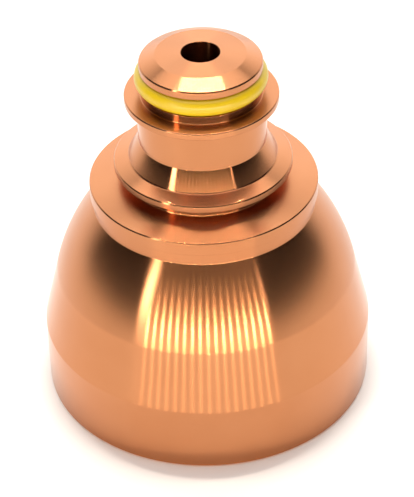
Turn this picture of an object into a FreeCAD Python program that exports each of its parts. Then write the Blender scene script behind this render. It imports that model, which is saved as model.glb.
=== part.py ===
import FreeCAD, Part
import math
import os

import Sketcher

# Plasma torch nozzle: one copper turning with a rubber O-ring in the groove under its tip.
# Millimetres, +Z up along the turning axis, origin in the middle of the foot.

SIZES = {
    # outside of the bell, from the foot up
    "skirt_radius": 14.0,
    "skirt_height": 5.94,
    "foot_chamfer": 0.15,
    "taper_in": 1.28,
    "taper_height": 5.11,
    "dome_in": 3.45,
    "dome_height": 6.57,
    "dome_curve": 16.5,
    "waist_height": 1.09,
    "collar_lip": 0.22,
    "collar_rim": 1.13,
    "collar_width": 3.09,
    "collar_rise": 0.45,
    # outside of the stem
    "lower_neck_height": 1.04,
    "lower_flange_lip": 0.96,
    "lower_flange_rim": 0.56,
    "lower_flange_width": 1.23,
    "lower_flange_rise": 0.38,
    "flare_height": 1.68,
    "flare_width": 0.86,
    "neck_height": 3.59,
    "upper_flange_lip": 1.0,
    "upper_flange_rim": 0.56,
    "land_width": 1.35,
    "land_height": 0.71,
    "rim_chamfer": 0.08,
    "root_fillet": 0.25,
    # tip and seal groove
    "tip_radius": 4.98,
    "tip_height": 0.63,
    "bevel_height": 0.57,
    "bevel_width": 1.32,
    "face_rise": 0.13,
    "groove_depth": 1.12,
    "groove_side_play": 0.07,
    "seal_radius": 0.75,
    "seal_seat_gap": 0.02,
    # stepped bore from the foot, and the orifice
    "socket_wall": 2.0,
    "socket_depth": 3.0,
    "socket_chamfer": 0.3,
    "ring_shoulder": 2.4,
    "ring_bore_length": 9.0,
    "seat_width": 3.4,
    "funnel_height": 5.0,
    "chamber_wall": 1.47,
    "throat_height": 2.4,
    "orifice_radius": 1.575,
    "orifice_length": 4.6,
}

doc = FreeCAD.newDocument("plasma_torch_nozzle")
sheet = doc.addObject("Spreadsheet::Sheet", "sizes")
for row, (alias, number) in enumerate(SIZES.items(), start=1):
    sheet.set(f"A{row}", alias)
    sheet.set(f"B{row}", str(number))
    sheet.setAlias(f"B{row}", alias)
doc.recompute()


class Length:
    """A length of the model: its value in millimetres and the formula that ties it to the sheet."""

    def __init__(self, value, formula):
        self.value = value
        self.formula = formula

    def __add__(self, other):
        return Length(self.value + other.value, f"{self.formula} + {other.formula}")

    def __sub__(self, other):
        return Length(self.value - other.value, f"{self.formula} - ({other.formula})")


size = {alias: Length(number, f"sizes.{alias}") for alias, number in SIZES.items()}
zero = Length(0.0, "0")


def origin_plane(body, role):
    """The body's own origin plane with that role."""
    return next(item for item in body.Origin.OriginFeatures if item.Role == role)


def new_sketch(body, name, role):
    """An empty sketch on one of the body's origin planes."""
    sketch = body.newObject("Sketcher::SketchObject", name)
    sketch.AttachmentSupport = [(origin_plane(body, role), "")]
    sketch.MapMode = "FlatFace"
    return sketch


def arc_between(start, end, radius):
    """The arc that bulges away from the axis, anticlockwise from start to end."""
    middle = (start + end) * 0.5
    chord = end - start
    reach = math.sqrt(radius * radius - (chord.Length / 2) ** 2)
    inward = FreeCAD.Vector(-chord.y, chord.x, 0)
    inward.normalize()
    centre = middle + inward * reach
    circle = Part.Circle(centre, FreeCAD.Vector(0, 0, 1), radius)
    first = math.atan2(start.y - centre.y, start.x - centre.x)
    last = math.atan2(end.y - centre.y, end.x - centre.x)
    return Part.ArcOfCircle(circle, first, last)


def half_section(body, name, corners, arcs=None):
    """Sketch a closed half section on the XZ plane, every corner placed by the sheet.

    arcs gives the radius of each side that is an arc, by the number of its first corner.
    """
    arcs = arcs or {}
    sketch = new_sketch(body, name, "XZ_Plane")
    points = [FreeCAD.Vector(radius.value, height.value, 0) for radius, height in corners]
    count = len(points)
    for side in range(count):
        start = points[side]
        end = points[(side + 1) % count]
        if side in arcs:
            sketch.addGeometry(arc_between(start, end, arcs[side].value), False)
        else:
            sketch.addGeometry(Part.LineSegment(start, end), False)
    for side in range(count):
        sketch.addConstraint(Sketcher.Constraint("Coincident", side, 2, (side + 1) % count, 1))
    for side, (radius, height) in enumerate(corners):
        if radius.value == 0.0:
            sketch.addConstraint(Sketcher.Constraint("PointOnObject", side, 1, -2))
        else:
            place = Sketcher.Constraint("DistanceX", -1, 1, side, 1, radius.value)
            number = sketch.addConstraint(place)
            sketch.setExpression(f"Constraints[{number}]", radius.formula)
        if height.value == 0.0:
            sketch.addConstraint(Sketcher.Constraint("PointOnObject", side, 1, -1))
        else:
            place = Sketcher.Constraint("DistanceY", -1, 1, side, 1, height.value)
            number = sketch.addConstraint(place)
            sketch.setExpression(f"Constraints[{number}]", height.formula)
    for side, radius in arcs.items():
        number = sketch.addConstraint(Sketcher.Constraint("Radius", side, radius.value))
        sketch.setExpression(f"Constraints[{number}]", radius.formula)
    return sketch


def turn(body, kind, name, sketch):
    """Turn a half section about the body's axis, adding or cutting."""
    feature = body.newObject(kind, name)
    feature.Profile = sketch
    feature.ReferenceAxis = (sketch, ["V_Axis"])
    feature.Angle = 360.0
    sketch.Visibility = False
    doc.recompute()
    return feature


def rings(feature, places):
    """Names of the circular edges at the given radii and heights."""
    names = []
    for radius, height in places:
        for number, edge in enumerate(feature.Shape.Edges, start=1):
            curve = edge.Curve
            if not isinstance(curve, Part.Circle):
                continue
            near = abs(curve.Radius - radius.value) < 0.004
            level = abs(curve.Center.z - height.value) < 0.004
            if near and level:
                names.append(f"Edge{number}")
    if len(names) != len(places):
        raise RuntimeError(f"{len(places)} edges looked for, {len(names)} found")
    return names


def ease(body, kind, name, base, places, amount):
    """Chamfer or round the circular edges at the given places."""
    feature = body.newObject(kind, name)
    feature.Base = (base, rings(base, places))
    if kind == "PartDesign::Chamfer":
        feature.Size = amount.value
        feature.setExpression("Size", amount.formula)
    else:
        feature.Radius = amount.value
        feature.setExpression("Radius", amount.formula)
    doc.recompute()
    return feature


# Outside radii, from the skirt inwards
skirt = size["skirt_radius"]
shoulder = skirt - size["taper_in"]
waist = shoulder - size["dome_in"]
collar = waist + size["collar_lip"]
lower_neck = collar - size["collar_width"]
lower_flange = lower_neck + size["lower_flange_lip"]
flare_foot = lower_flange - size["lower_flange_width"]
neck = flare_foot - size["flare_width"]
upper_flange = neck + size["upper_flange_lip"]
land = upper_flange - size["land_width"]
tip = size["tip_radius"]
groove_root = tip - size["groove_depth"]
tip_face = tip - size["bevel_width"]
orifice = size["orifice_radius"]

# Outside heights, from the foot up
skirt_top = size["skirt_height"]
dome_foot = skirt_top + size["taper_height"]
dome_top = dome_foot + size["dome_height"]
collar_foot = dome_top + size["waist_height"]
collar_edge = collar_foot + size["collar_rim"]
collar_top = collar_edge + size["collar_rise"]
lower_flange_foot = collar_top + size["lower_neck_height"]
lower_flange_edge = lower_flange_foot + size["lower_flange_rim"]
lower_flange_top = lower_flange_edge + size["lower_flange_rise"]
flare_top = lower_flange_top + size["flare_height"]
neck_top = flare_top + size["neck_height"]
upper_flange_top = neck_top + size["upper_flange_rim"]
groove_foot = upper_flange_top + size["land_height"]
groove_middle = groove_foot + size["groove_side_play"] + size["seal_radius"]
groove_top = groove_middle + size["seal_radius"] + size["groove_side_play"]
tip_edge = groove_top + size["tip_height"]
bevel_top = tip_edge + size["bevel_height"]
top = bevel_top + size["face_rise"]

# Bore radii and heights
socket = skirt - size["socket_wall"]
socket_top = size["socket_depth"]
ring_bore = socket - size["ring_shoulder"]
ring_bore_top = socket_top + size["ring_bore_length"]
seat = ring_bore - size["seat_width"]
funnel_top = ring_bore_top + size["funnel_height"]
chamber = neck - size["chamber_wall"]
throat_top = top - size["orifice_length"]
throat_foot = throat_top - size["throat_height"]

nozzle = doc.addObject("PartDesign::Body", "nozzle_body")
nozzle.Label = "nozzle_body"

# Skirt, taper, dome, recess and collar
bell_corners = [
    (zero, zero),
    (skirt, zero),
    (skirt, skirt_top),
    (shoulder, dome_foot),
    (waist, dome_top),
    (waist, collar_foot),
    (collar, collar_foot),
    (collar, collar_edge),
    (lower_neck, collar_top),
    (zero, collar_top),
]
bell_arcs = {3: size["dome_curve"]}
bell_sketch = half_section(nozzle, "bell_section", bell_corners, bell_arcs)
bell = turn(nozzle, "PartDesign::Revolution", "bell", bell_sketch)

# Lower neck, lower flange, flare, neck, upper flange, seal groove and tip
stem_corners = [
    (zero, collar_top),
    (lower_neck, collar_top),
    (lower_neck, lower_flange_foot),
    (lower_flange, lower_flange_foot),
    (lower_flange, lower_flange_edge),
    (flare_foot, lower_flange_top),
    (neck, flare_top),
    (neck, neck_top),
    (upper_flange, neck_top),
    (upper_flange, upper_flange_top),
    (land, upper_flange_top),
    (land, groove_foot),
    (groove_root, groove_foot),
    (groove_root, groove_top),
    (tip, groove_top),
    (tip, tip_edge),
    (tip_face, bevel_top),
    (orifice, top),
    (zero, top),
]
stem_sketch = half_section(nozzle, "stem_section", stem_corners)
stem = turn(nozzle, "PartDesign::Revolution", "stem", stem_sketch)

# Socket, swirl ring bore, seat, funnel, electrode chamber and throat
bore_corners = [
    (zero, zero),
    (socket, zero),
    (socket, socket_top),
    (ring_bore, socket_top),
    (ring_bore, ring_bore_top),
    (seat, ring_bore_top),
    (chamber, funnel_top),
    (chamber, throat_foot),
    (orifice, throat_top),
    (zero, throat_top),
]
bore_sketch = half_section(nozzle, "bore_section", bore_corners)
solid_volume = stem.Shape.Volume
bore = turn(nozzle, "PartDesign::Groove", "rear_bore", bore_sketch)
if bore.Shape.Volume > solid_volume - 1000.0:
    raise RuntimeError("the rear bore has not been cut")

# Orifice through the tip
orifice_sketch = new_sketch(nozzle, "orifice_section", "XY_Plane")
mouth = Part.Circle(FreeCAD.Vector(0, 0, 0), FreeCAD.Vector(0, 0, 1), orifice.value)
orifice_sketch.addGeometry(mouth, False)
orifice_sketch.addConstraint(Sketcher.Constraint("Coincident", 0, 3, -1, 1))
orifice_size = orifice_sketch.addConstraint(Sketcher.Constraint("Radius", 0, orifice.value))
orifice_sketch.setExpression(f"Constraints[{orifice_size}]", orifice.formula)
bored_volume = bore.Shape.Volume
hole = nozzle.newObject("PartDesign::Pocket", "orifice")
hole.Profile = orifice_sketch
hole.Type = "ThroughAll"
hole.Reversed = True
orifice_sketch.Visibility = False
doc.recompute()
if hole.Shape.Volume > bored_volume - 10.0:
    raise RuntimeError("the orifice has not been cut")

# Edges: the foot, the socket mouth, the tops of the rims and the root of the flare
foot_places = [(skirt, zero)]
foot_edge = ease(nozzle, "PartDesign::Chamfer", "foot_edge", hole, foot_places, size["foot_chamfer"])
socket_places = [(socket, zero)]
socket_edge = ease(
    nozzle, "PartDesign::Chamfer", "socket_edge", foot_edge, socket_places, size["socket_chamfer"]
)
rim_places = [
    (collar, collar_edge),
    (lower_flange, lower_flange_edge),
    (upper_flange, upper_flange_top),
    (tip, tip_edge),
]
rim_edges = ease(
    nozzle, "PartDesign::Chamfer", "rim_edges", socket_edge, rim_places, size["rim_chamfer"]
)
root_places = [(flare_foot, lower_flange_top)]
flare_root = ease(
    nozzle, "PartDesign::Fillet", "flare_root", rim_edges, root_places, size["root_fillet"]
)

# O-ring, stretched onto the root of the groove
seal_centre = groove_root + size["seal_seat_gap"] + size["seal_radius"]
seal = doc.addObject("Part::Torus", "o_ring")
seal.Label = "o_ring"
seal.Radius1 = seal_centre.value
seal.Radius2 = size["seal_radius"].value
seal.setExpression("Radius1", seal_centre.formula)
seal.setExpression("Radius2", size["seal_radius"].formula)
seal.setExpression("Placement.Base.z", groove_middle.formula)

doc.recompute()

for item in doc.Objects:
    if "Invalid" in item.State or "Error" in item.State:
        raise RuntimeError(f"{item.Name} did not recompute")

os.makedirs("parts", exist_ok=True)
for node in (nozzle, seal):
    shape = node.Shape
    if shape.isNull() or not shape.isValid() or len(shape.Solids) != 1:
        raise RuntimeError(f"{node.Label} is not one sound solid")
    shape.exportStep(f"parts/{node.Label}.step")
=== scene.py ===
import math

import bpy
from mathutils import Matrix, Vector


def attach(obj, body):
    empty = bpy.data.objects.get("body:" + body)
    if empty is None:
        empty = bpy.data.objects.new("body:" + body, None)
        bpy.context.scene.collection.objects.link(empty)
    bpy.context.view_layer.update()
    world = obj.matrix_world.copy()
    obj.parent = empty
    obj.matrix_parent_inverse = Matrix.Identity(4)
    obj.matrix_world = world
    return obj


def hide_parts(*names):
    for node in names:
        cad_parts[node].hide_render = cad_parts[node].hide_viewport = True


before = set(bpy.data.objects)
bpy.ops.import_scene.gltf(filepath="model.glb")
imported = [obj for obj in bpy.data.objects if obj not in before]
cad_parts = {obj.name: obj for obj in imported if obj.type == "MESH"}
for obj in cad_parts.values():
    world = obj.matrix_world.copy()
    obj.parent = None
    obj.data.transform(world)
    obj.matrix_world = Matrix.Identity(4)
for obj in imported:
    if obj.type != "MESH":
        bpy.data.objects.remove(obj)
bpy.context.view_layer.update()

MM = 0.001
TURNS = 256
STEP_ANGLE = 0.35
SIDE_SHARE = 0.45


# ---------------------------------------------------------------- turned shapes

def rounded(corners):
    """Points and outward normals along a closed profile whose corners are rounded.

    corners holds (radius, height, rounding, polish) in millimetres; the solid lies to the left.
    """
    count = len(corners)
    stops = []
    for i, (r, z, rounding, polish) in enumerate(corners):
        here = Vector((r, z))
        before = Vector(corners[i - 1][:2])
        after = Vector(corners[(i + 1) % count][:2])
        d_in = (here - before).normalized()
        d_out = (after - here).normalized()
        angle = math.atan2(d_in.x * d_out.y - d_in.y * d_out.x, d_in.dot(d_out))
        n_in = Vector((d_in.y, -d_in.x))
        n_out = Vector((d_out.y, -d_out.x))
        reach = rounding * math.tan(abs(angle) / 2)
        room = SIDE_SHARE * min((here - before).length, (after - here).length)
        if reach > room:
            reach = room
        steps = 0 if abs(angle) < 0.002 else max(2, math.ceil(abs(angle) / STEP_ANGLE))
        if steps == 0:
            stops.append((here, n_in, polish))
            continue
        start = here - d_in * reach
        end = here + d_out * reach
        radius = reach / math.tan(abs(angle) / 2)
        sign = 1 if angle > 0 else -1
        centre = start - n_in * radius * sign
        base = math.atan2(n_in.y, n_in.x)
        for k in range(steps + 1):
            a = base + angle * k / steps
            n = Vector((math.cos(a), math.sin(a)))
            stops.append((centre + n * radius * sign, n, polish))
    return stops


def lathe(name, stops):
    """A closed mesh turned about Z from the profile's points, shaded with the profile's own normals."""
    count = len(stops)
    verts = []
    normals = []
    polish = []
    for point, normal, value in stops:
        for k in range(TURNS):
            a = 2 * math.pi * k / TURNS
            c, s = math.cos(a), math.sin(a)
            verts.append((point.x * c * MM, point.x * s * MM, point.y * MM))
            normals.append((normal.x * c, normal.x * s, normal.y))
            polish.append(value)
    faces = []
    for i in range(count):
        j = (i + 1) % count
        for k in range(TURNS):
            m = (k + 1) % TURNS
            faces.append((i * TURNS + k, i * TURNS + m, j * TURNS + m, j * TURNS + k))
    mesh = bpy.data.meshes.new(name)
    mesh.from_pydata(verts, [], faces)
    mesh.update()
    for face in mesh.polygons:
        face.use_smooth = True
    mesh.normals_split_custom_set_from_vertices(normals)
    layer = mesh.attributes.new("polish", "FLOAT", "POINT")
    layer.data.foreach_set("value", polish)
    piece = bpy.data.objects.new(name, mesh)
    bpy.context.scene.collection.objects.link(piece)
    return piece


# ---------------------------------------------------------------- materials

def new_material(name):
    material = bpy.data.materials.new(name)
    material.use_nodes = True
    tree = material.node_tree
    shader = tree.nodes["Principled BSDF"]
    return material, tree, shader


def copper_material():
    material, tree, shader = new_material("turned_copper")
    shader.inputs["Metallic"].default_value = 1.0
    shader.inputs["Anisotropic"].default_value = 1.0
    tangent = tree.nodes.new("ShaderNodeTangent")
    tangent.direction_type = "RADIAL"
    tangent.axis = "Z"
    tree.links.new(tangent.outputs["Tangent"], shader.inputs["Tangent"])
    shader.inputs["Anisotropic Rotation"].default_value = 0.25
    polish = tree.nodes.new("ShaderNodeAttribute")
    polish.attribute_name = "polish"
    rough = tree.nodes.new("ShaderNodeMapRange")
    rough.inputs["To Min"].default_value = 0.2
    rough.inputs["To Max"].default_value = 0.12
    tree.links.new(polish.outputs["Fac"], rough.inputs["Value"])
    tree.links.new(rough.outputs["Result"], shader.inputs["Roughness"])
    place = tree.nodes.new("ShaderNodeTexCoord")
    cloud = tree.nodes.new("ShaderNodeTexNoise")
    cloud.inputs["Scale"].default_value = 260.0
    cloud.inputs["Detail"].default_value = 3.0
    tree.links.new(place.outputs["Object"], cloud.inputs["Vector"])
    tint = tree.nodes.new("ShaderNodeMix")
    tint.data_type = "RGBA"
    tint.inputs[6].default_value = (0.50, 0.20, 0.085, 1)
    tint.inputs[7].default_value = (0.56, 0.24, 0.11, 1)
    tree.links.new(cloud.outputs["Fac"], tint.inputs["Factor"])
    tree.links.new(tint.outputs[2], shader.inputs["Base Color"])
    return material


def seal_material():
    material, tree, shader = new_material("seal_rubber")
    shader.inputs["Roughness"].default_value = 0.32
    place = tree.nodes.new("ShaderNodeTexCoord")
    cloud = tree.nodes.new("ShaderNodeTexNoise")
    cloud.inputs["Scale"].default_value = 900.0
    tree.links.new(place.outputs["Object"], cloud.inputs["Vector"])
    tint = tree.nodes.new("ShaderNodeMix")
    tint.data_type = "RGBA"
    tint.inputs[6].default_value = (0.50, 0.36, 0.006, 1)
    tint.inputs[7].default_value = (0.60, 0.43, 0.01, 1)
    tree.links.new(cloud.outputs["Fac"], tint.inputs["Factor"])
    tree.links.new(tint.outputs[2], shader.inputs["Base Color"])
    return material


# ---------------------------------------------------------------- the nozzle body

# wide enough that each corner along an arc is rounded as far as its sides allow
ARC_ROUNDING = 60.0


def arc(start, end, radius, steps, polish):
    """Corners along an arc that bulges away from the axis, without its two ends."""
    a = Vector(start)
    b = Vector(end)
    chord = b - a
    reach = math.sqrt(radius * radius - (chord.length / 2) ** 2)
    inward = Vector((-chord.y, chord.x)).normalized()
    centre = (a + b) / 2 + inward * reach
    first = math.atan2(a.y - centre.y, a.x - centre.x)
    last = math.atan2(b.y - centre.y, b.x - centre.x)
    out = []
    for k in range(1, steps):
        t = first + (last - first) * k / steps
        point = centre + Vector((math.cos(t), math.sin(t))) * radius
        out.append((point.x, point.y, ARC_ROUNDING, polish))
    return out


SMOOTH = 1.0
TURNED = 0.0
DOME_CURVE = 16.5
DOME_STEPS = 14
shoulder = (12.72, 11.05)
dome_end = (9.27, 17.62)

body_corners = [
    (13.85, 0.0, 0.04, SMOOTH),
    (14.0, 0.15, 0.08, SMOOTH),
    (14.0, 5.94, 0.12, SMOOTH),
    (12.72, 11.05, 0.10, SMOOTH),
    *arc(shoulder, dome_end, DOME_CURVE, DOME_STEPS, TURNED),
    (9.27, 17.62, 0.10, TURNED),
    (9.27, 18.71, 0.08, TURNED),
    (9.49, 18.71, 0.03, TURNED),
    (9.49, 19.76, 0.05, TURNED),
    (9.41, 19.852, 0.05, TURNED),
    (6.40, 20.29, 0.12, TURNED),
    (6.40, 21.33, 0.08, TURNED),
    (7.36, 21.33, 0.04, TURNED),
    (7.36, 21.81, 0.05, TURNED),
    (7.284, 21.914, 0.05, TURNED),
    (6.13, 22.27, 0.25, TURNED),
    (5.27, 23.95, 0.08, SMOOTH),
    (5.27, 27.54, 0.08, SMOOTH),
    (6.27, 27.54, 0.04, TURNED),
    (6.27, 28.02, 0.05, TURNED),
    (6.19, 28.10, 0.05, TURNED),
    (4.92, 28.10, 0.08, TURNED),
    (4.92, 28.81, 0.04, SMOOTH),
    (3.86, 28.81, 0.10, SMOOTH),
    (3.86, 30.45, 0.10, SMOOTH),
    (4.98, 30.45, 0.04, SMOOTH),
    (4.98, 31.0, 0.05, TURNED),
    (4.907, 31.112, 0.05, TURNED),
    (3.66, 31.65, 0.20, TURNED),
    (1.575, 31.78, 0.04, TURNED),
    (1.575, 27.18, 0.20, SMOOTH),
    (3.80, 24.78, 0.20, SMOOTH),
    (3.80, 17.0, 0.20, SMOOTH),
    (6.20, 12.0, 0.05, TURNED),
    (9.60, 12.0, 0.10, TURNED),
    (9.60, 3.0, 0.05, SMOOTH),
    (12.0, 3.0, 0.10, SMOOTH),
    (12.0, 0.30, 0.03, SMOOTH),
    (12.3, 0.0, 0.03, SMOOTH),
]

body = lathe("nozzle_body_turned", rounded(body_corners))
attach(body, "root")
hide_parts("nozzle_body")
body.data.materials.clear()
body.data.materials.append(copper_material())

# ---------------------------------------------------------------- the O-ring

SEAL_CENTRE = Vector((4.63, 29.63))
SEAL_RADIUS = 0.75
SEAL_STEPS = 40
ring_stops = []
for k in range(SEAL_STEPS):
    a = 2 * math.pi * k / SEAL_STEPS
    n = Vector((math.cos(a), math.sin(a)))
    ring_stops.append((SEAL_CENTRE + n * SEAL_RADIUS, n, SMOOTH))
ring = lathe("o_ring_round", ring_stops)
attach(ring, "root")
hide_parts("o_ring")
ring.data.materials.clear()
ring.data.materials.append(seal_material())

# ---------------------------------------------------------------- camera

ELEVATION = math.radians(37.37)
RANGE = 0.16884
LENS = 143.57
ROLL = math.radians(-1.52)
AIM = Vector((0.00011, 0.0, 0.01217))
camera_data = bpy.data.cameras.new("camera")
camera_data.lens = LENS
camera_data.sensor_width = 36.0
camera_data.clip_start = 0.005
camera = bpy.data.objects.new("camera", camera_data)
back = Vector((0.0, -math.cos(ELEVATION), math.sin(ELEVATION)))
pitched = Matrix.Rotation(math.pi / 2 - ELEVATION, 4, "X")
rolled = Matrix.Rotation(ROLL, 4, "Z")
camera.matrix_world = Matrix.Translation(AIM + back * RANGE) @ pitched @ rolled
bpy.context.scene.collection.objects.link(camera)
bpy.context.scene.camera = camera

# ---------------------------------------------------------------- stage


def stage_mesh(name, verts, faces, material):
    mesh = bpy.data.meshes.new(name)
    mesh.from_pydata(verts, [], faces)
    mesh.materials.append(material)
    thing = bpy.data.objects.new(name, mesh)
    bpy.context.scene.collection.objects.link(thing)
    return thing


def floor_material():
    material, tree, shader = new_material("studio_floor")
    shader.inputs["Base Color"].default_value = (0.97, 0.97, 0.98, 1)
    shader.inputs["Roughness"].default_value = 0.6
    shader.inputs["Specular IOR Level"].default_value = 0.1
    return material


stage_mesh(
    "floor",
    [(-3, -3, 0), (3, -3, 0), (3, 3, 0), (-3, 3, 0)],
    [(0, 1, 2, 3)],
    floor_material(),
)


def lamp(name, direction, distance, width, height, strength, color):
    """A small rectangular lamp in that direction, facing the nozzle."""
    data = bpy.data.lights.new(name, "AREA")
    data.shape = "RECTANGLE"
    data.size = width
    data.size_y = height
    data.energy = strength
    data.color = color
    thing = bpy.data.objects.new(name, data)
    aim = Vector((0, 0, 0.016))
    direction = direction.normalized()
    thing.location = aim + direction * distance
    thing.rotation_euler = direction.to_track_quat("Z", "Y").to_euler()
    bpy.context.scene.collection.objects.link(thing)
    return thing


def mirror(azimuth, tilt):
    """The direction that a surface facing that azimuth and tilt mirrors towards the camera's side."""
    half = Vector(
        (
            math.sin(azimuth) * math.sin(tilt),
            -math.cos(azimuth) * math.sin(tilt),
            math.cos(tilt),
        )
    )
    return 2 * half.dot(back) * half - back


FAN = 17
for k in range(FAN):
    azimuth = math.radians(-24 + 48 * k / (FAN - 1))
    low = mirror(azimuth, math.radians(70))
    high = mirror(azimuth, math.radians(20))
    lamp(f"fan_low_{k}", low, 0.8, 0.003, 0.05, 0.42, (1.0, 0.82, 0.6))
    lamp(f"fan_high_{k}", high, 0.8, 0.003, 0.05, 0.2, (1.0, 0.9, 0.75))

lamp("key_left", mirror(math.radians(-26), math.radians(58)), 0.8, 0.09, 0.45, 1.3, (1.0, 0.92, 0.8))
lamp("key_right", mirror(math.radians(25), math.radians(60)), 0.8, 0.012, 0.25, 0.05, (1.0, 0.9, 0.8))
lamp("overhead", Vector((0, 0.1, 1.0)), 1.2, 1.4, 1.4, 12.0, (1.0, 1.0, 1.0))


def world_setup():
    world = bpy.data.worlds.new("studio")
    bpy.context.scene.world = world
    world.use_nodes = True
    tree = world.node_tree
    sky = tree.nodes["Background"]
    sky.inputs["Color"].default_value = (1, 1, 1, 1)
    place = tree.nodes.new("ShaderNodeTexCoord")
    split = tree.nodes.new("ShaderNodeSeparateXYZ")
    tree.links.new(place.outputs["Generated"], split.inputs["Vector"])
    # bright behind the nozzle and overhead, dark in front
    ramp = tree.nodes.new("ShaderNodeMapRange")
    ramp.interpolation_type = "SMOOTHSTEP"
    ramp.inputs["From Min"].default_value = 0.2
    ramp.inputs["From Max"].default_value = 0.9
    ramp.inputs["To Min"].default_value = 0.015
    ramp.inputs["To Max"].default_value = 1.9
    tree.links.new(split.outputs["Y"], ramp.inputs["Value"])
    seen = tree.nodes.new("ShaderNodeLightPath")
    pick = tree.nodes.new("ShaderNodeMix")
    pick.data_type = "FLOAT"
    tree.links.new(seen.outputs["Is Camera Ray"], pick.inputs["Factor"])
    tree.links.new(ramp.outputs["Result"], pick.inputs[2])
    pick.inputs[3].default_value = 1.0
    tree.links.new(pick.outputs[0], sky.inputs["Strength"])


world_setup()
bpy.context.scene.view_settings.view_transform = "Standard"
